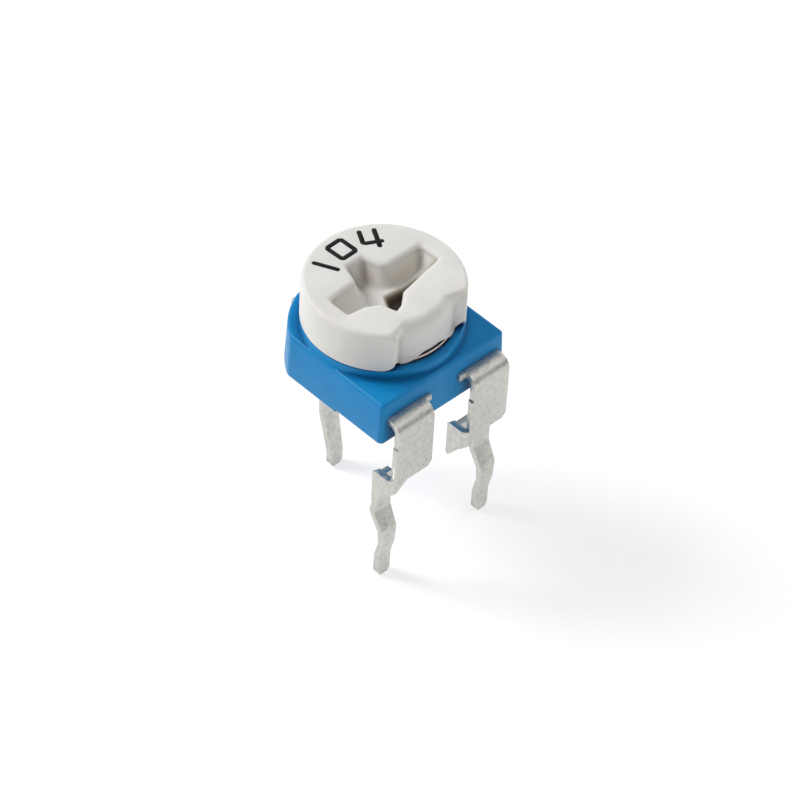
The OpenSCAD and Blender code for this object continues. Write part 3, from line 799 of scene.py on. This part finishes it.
def rotor_material():
    material, tree, shader = new_material("white_moulding", (0.7, 0.69, 0.66),
                                          roughness=0.5, specular=0.35)
    cloud = noise(tree, 0.8, detail=3)
    color = ramp(tree, cloud, [(0.35, (0.68, 0.665, 0.635)), (0.65, (0.72, 0.71, 0.68))])
    # Painted shade: grey darkening where the rotor is enclosed, low on the notch wall beside the ring
    color = blend_colors(tree, openness(tree, 0.4, 0.4, 0.95), (0.3, 0.28, 0.26), color)
    # Painted shade in the slots: brown where the surface is enclosed, near black below the shelf's level
    depth = openness(tree, 1.3, 0.05, 0.8)
    shade = ramp(tree, depth, [(0.18, (0.015, 0.01, 0.007)), (0.38, (0.3, 0.235, 0.17)),
                               (0.66, (0.84, 0.79, 0.71)), (0.95, (1, 1, 1))])
    shelf_z = ROTOR_Z1 - SHELF_DEPTH
    low = ramp(tree, height_share(tree, shelf_z - 0.3, shelf_z),
               [(0, (0.08, 0.06, 0.045)), (0.45, (0.3, 0.25, 0.2)), (1, (1, 1, 1))])
    shade = blend_colors(tree, None, shade, low, "MULTIPLY")
    above_pocket = height_share(tree, ROTOR_Z0 + 0.1, ROTOR_Z0 + 0.2)
    shade = blend_colors(tree, within(tree, SLOT_HALF_LENGTH + 0.2), (1, 1, 1), shade)
    shade = blend_colors(tree, above_pocket, (1, 1, 1), shade)
    color = blend_colors(tree, None, color, shade, "MULTIPLY")
    tree.links.new(color, shader.inputs["Base Color"])
    shader.inputs["Subsurface Weight"].default_value = 0.2
    shader.inputs["Subsurface Radius"].default_value = (1.0, 0.75, 0.5)
    shader.inputs["Subsurface Scale"].default_value = 0.3 * MM
    tree.links.new(spread(tree, noise(tree, 3), 0.42, 0.56), shader.inputs["Roughness"])
    bump(tree, shader, noise(tree, 11, detail=6, roughness=0.6), 0.006, 0.5)
    return material


def tinned_material():
    material, tree, shader = new_material("tinned_sheet", (0.6, 0.58, 0.54), metallic=0.95, roughness=0.36)
    patches = noise(tree, 6, detail=5, roughness=0.75)
    color = ramp(tree, patches, [(0.3, (0.36, 0.35, 0.32)), (0.42, (0.56, 0.55, 0.51)),
                                 (0.7, (0.66, 0.65, 0.61))])
    tree.links.new(color, shader.inputs["Base Color"])
    tree.links.new(spread(tree, noise(tree, 5, detail=5), 0.27, 0.48), shader.inputs["Roughness"])
    bump(tree, shader, noise(tree, 7, detail=8, roughness=0.65), 0.014, 0.6)
    return material


def ink_material():
    material, tree, shader = new_material("black_ink", (0.01, 0.01, 0.011), roughness=0.7, specular=0.15)
    color = ramp(tree, noise(tree, 12), [(0.3, (0.006, 0.006, 0.007)), (0.7, (0.02, 0.019, 0.019))])
    tree.links.new(color, shader.inputs["Base Color"])
    return material


def wiper_material():
    material, tree, shader = new_material("spring_sheet", (0.88, 0.78, 0.72), metallic=0.6, roughness=0.35)
    grain = noise(tree, 6, detail=5, stretch=(1, 8, 1))
    color = ramp(tree, grain, [(0.3, (0.8, 0.69, 0.62)), (0.7, (0.93, 0.85, 0.8))])
    # Painted shade: the spring sheet darkens to near black where it lies enclosed under the rotor's edge
    color = blend_colors(tree, openness(tree, 0.3, 0.15, 0.45), (0.04, 0.03, 0.025), color)
    tree.links.new(color, shader.inputs["Base Color"])
    bump(tree, shader, grain, 0.004, 0.5)
    return material


def film_material(name, dark, light, roughness, metallic=0.0):
    """Printed film or laminate with a fine grain."""
    material, tree, shader = new_material(name, light, metallic=metallic, roughness=roughness)
    grain = noise(tree, 18, detail=6, roughness=0.7)
    tree.links.new(ramp(tree, grain, [(0.3, dark), (0.7, light)]), shader.inputs["Base Color"])
    bump(tree, shader, grain, 0.004, 0.6)
    return material


def floor_material():
    material, tree, shader = new_material("pale_floor", (0.45, 0.45, 0.45), roughness=0.9, specular=0.1)
    color = ramp(tree, noise(tree, 0.05), [(0.3, (0.44, 0.44, 0.44)), (0.7, (0.46, 0.46, 0.46))])
    tree.links.new(color, shader.inputs["Base Color"])
    shader.inputs["Emission Color"].default_value = (1, 1, 1, 1)
    shader.inputs["Emission Strength"].default_value = 0.6
    return material


def paint(obj, material):
    """Gives the whole object one material."""
    if not obj.data.materials:
        obj.data.materials.append(material)
    for slot in obj.material_slots:
        slot.material = material


# --- Light, floor and camera -----------------------------------------------------------
CAMERA_TURN = math.radians(45.89)      # left of the front
CAMERA_RISE = math.radians(44.45)
CAMERA_ROLL = math.radians(3.42)
CAMERA_DISTANCE = 152.11
CAMERA_LENS = 190.56                   # on a 36 mm sensor
CAMERA_SIDE, CAMERA_UP = 0.638, -2.797     # of the aim from the housing's top, in the picture


def camera_axes():
    """The picture's right, the picture's up and the way back to the camera."""
    turn, rise = CAMERA_TURN, CAMERA_RISE
    back = Vector((-math.sin(turn) * math.cos(rise), -math.cos(turn) * math.cos(rise), math.sin(rise)))
    right = Vector((math.cos(turn), -math.sin(turn), 0))
    up = back.cross(right)
    c, s = math.cos(CAMERA_ROLL), math.sin(CAMERA_ROLL)
    return c * right + s * up, -s * right + c * up, back


def make_camera():
    right, up, back = camera_axes()
    aim = Vector((0, 0, HOUSING_Z1)) + CAMERA_SIDE * right + CAMERA_UP * up
    camera = bpy.data.objects.new("camera", bpy.data.cameras.new("camera"))
    camera.matrix_world = Matrix((right, up, back)).transposed().to_4x4()
    camera.location = (aim + CAMERA_DISTANCE * back) * MM
    camera.data.sensor_width = 36
    camera.data.lens = CAMERA_LENS
    camera.data.clip_start, camera.data.clip_end = 0.01, 10
    bpy.context.collection.objects.link(camera)
    bpy.context.scene.camera = camera


def add_light(name, place, size, watts, color=(1, 1, 1)):
    """Square area light at a place in millimetres, aimed at the housing."""
    light = bpy.data.lights.new(name, "AREA")
    light.energy = watts
    light.size = size * MM
    light.color = color
    obj = bpy.data.objects.new(name, light)
    aim = Vector((0, 0, HOUSING_Z1))
    obj.location = Vector(place) * MM
    obj.rotation_euler = (aim - Vector(place)).to_track_quat("-Z", "Y").to_euler()
    bpy.context.collection.objects.link(obj)


def make_studio():
    right, up, back = camera_axes()

    def place(across, above, behind):
        return right * across + up * above + back * behind

    add_light("key", place(-185, 175, 85), 100, 0.55)
    add_light("fill", place(170, 130, 200), 240, 0.14)
    add_light("rim", place(190, 200, -60), 160, 0.18)
    world = bpy.data.worlds.new("studio")
    world.use_nodes = True
    background = world.node_tree.nodes["Background"]
    background.inputs["Color"].default_value = (0.97, 0.98, 1.0, 1)
    background.inputs["Strength"].default_value = 0.4
    bpy.context.scene.world = world
    bpy.context.scene.view_settings.view_transform = "Standard"
    bm = bmesh.new()
    bmesh.ops.create_grid(bm, x_segments=4, y_segments=4, size=600)
    bm.transform(Matrix.Translation((0, 0, FLOOR_Z)))
    bm.transform(Matrix.Scale(MM, 4))
    mesh = bpy.data.meshes.new("floor")
    bm.to_mesh(mesh)
    bm.free()
    floor = bpy.data.objects.new("floor", mesh)
    bpy.context.collection.objects.link(floor)
    paint(floor, floor_material())


# --- Assembly ------------------------------------------------------------------------------
make_camera()
make_studio()
paint(make_housing(), housing_material())
paint(make_rotor(), rotor_material())
paint(make_digits(), ink_material())
tinned = tinned_material()
for terminal in make_terminals():
    paint(terminal, tinned)
spring = wiper_material()
paint(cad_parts["wiper"], spring)
paint(make_wiper_rim(), spring)
paint(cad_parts["element_board"],
      film_material("laminate", (0.24, 0.12, 0.05), (0.36, 0.2, 0.09), 0.6))
paint(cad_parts["carbon_track"],
      film_material("carbon_film", (0.012, 0.012, 0.012), (0.035, 0.035, 0.035), 0.5))
silver = film_material("silver_film", (0.6, 0.6, 0.58), (0.78, 0.78, 0.76), 0.4, metallic=0.8)
for pad in ("end_pad_left", "end_pad_right"):
    paint(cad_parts[pad], silver)
